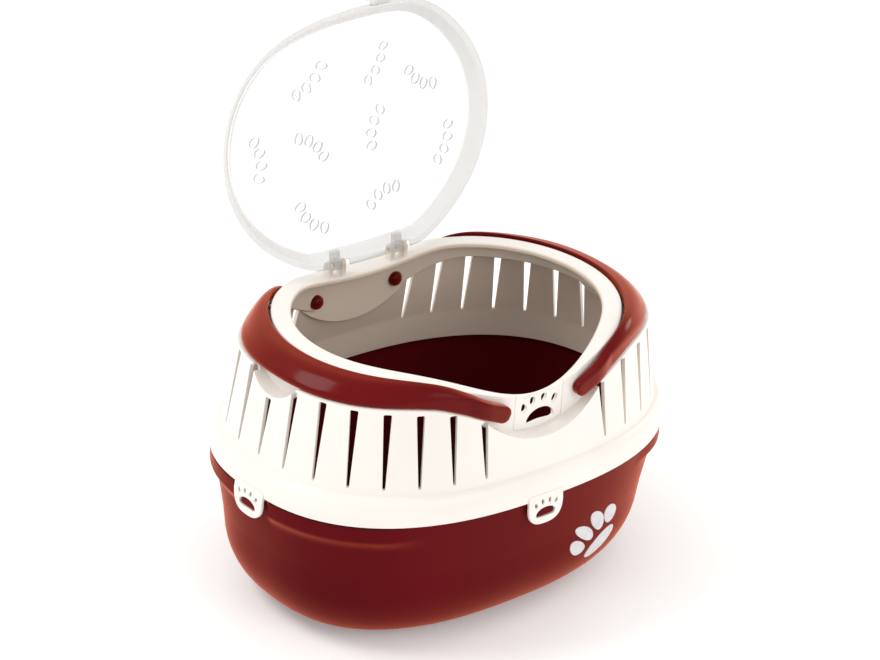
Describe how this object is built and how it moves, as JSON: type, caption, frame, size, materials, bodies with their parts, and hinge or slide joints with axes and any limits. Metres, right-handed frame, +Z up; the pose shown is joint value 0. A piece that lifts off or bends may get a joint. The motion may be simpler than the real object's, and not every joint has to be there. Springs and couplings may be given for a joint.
{
  "type": "plastic pet keeper",
  "caption": "Oval carrier for a small pet: deep tub, slotted shell clipped on top, clear hinged lid with vents, and folding carrying handles",
  "frame": {"origin": "Centre of the tub's flat underside, on the floor", "axes": "+X along the length to the right end as seen from the front, +Y to the back where the lid is hinged, -Y to the front where the latch is, +Z up"},
  "size_m": [0.3018, 0.2178, 0.3522],
  "materials": {
    "tub_plastic": "semi-gloss translucent dark red polypropylene",
    "shell_plastic": "semi-gloss white polypropylene",
    "clear_plastic": "clear polystyrene",
    "pin_plastic": "white plastic",
    "handle_plastic": "glossy translucent red plastic",
    "badge_silver": "satin silver film"
  },
  "bodies": {
    "body": {"base_tub": "tub_plastic", "upper_shell": "shell_plastic", "lid_hinge_pin_left": "pin_plastic", "lid_hinge_pin_right": "pin_plastic", "badge_pad": "badge_silver", "badge_toes": "badge_silver"},
    "lid": {"lid": "clear_plastic", "lid_catch": "clear_plastic"},
    "left_handle": {"handle_left": "handle_plastic", "handle_pin_left_front": "handle_plastic", "handle_pin_left_rear": "handle_plastic"},
    "right_handle": {"handle_right": "handle_plastic", "handle_pin_right_front": "handle_plastic", "handle_pin_right_rear": "handle_plastic"},
    "latch": {"front_latch": "shell_plastic"},
    "front_clip": {"clip_front": "shell_plastic"},
    "back_clip": {"clip_back": "shell_plastic"},
    "left_clip": {"clip_left": "shell_plastic"},
    "right_clip": {"clip_right": "shell_plastic"}
  },
  "joints": [
    {"name": "lid_hinge", "type": "hinge", "parent": "body", "child": "lid", "pos_m": [0, 0.08, 0.1793], "axis": [1, 0, 0], "range_deg": [0, 99]},
    {"name": "handle_left_fold", "type": "hinge", "parent": "body", "child": "left_handle", "pos_m": [-0.032, 0, 0.1518], "axis": [0, 1, 0], "range_deg": [0, 15]},
    {"name": "handle_right_fold", "type": "hinge", "parent": "body", "child": "right_handle", "pos_m": [0.032, 0, 0.1518], "axis": [0, -1, 0], "range_deg": [0, 15]},
    {"name": "latch_press", "type": "hinge", "parent": "body", "child": "latch", "pos_m": [0, -0.0859, 0.1334], "axis": [-1, 0, 0], "range_deg": [0, 6]},
    {"name": "clip_front_release", "type": "hinge", "parent": "body", "child": "front_clip", "pos_m": [-0.007, -0.1078, 0.0988], "axis": [-1, 0, 0], "range_deg": [0, 12]},
    {"name": "clip_back_release", "type": "hinge", "parent": "body", "child": "back_clip", "pos_m": [0.007, 0.1078, 0.0988], "axis": [1, 0, 0], "range_deg": [0, 12]},
    {"name": "clip_left_release", "type": "hinge", "parent": "body", "child": "left_clip", "pos_m": [-0.1498, -0.001, 0.0988], "axis": [0, 1, 0], "range_deg": [0, 12]},
    {"name": "clip_right_release", "type": "hinge", "parent": "body", "child": "right_clip", "pos_m": [0.1498, 0.001, 0.0988], "axis": [0, -1, 0], "range_deg": [0, 12]}
  ]
}
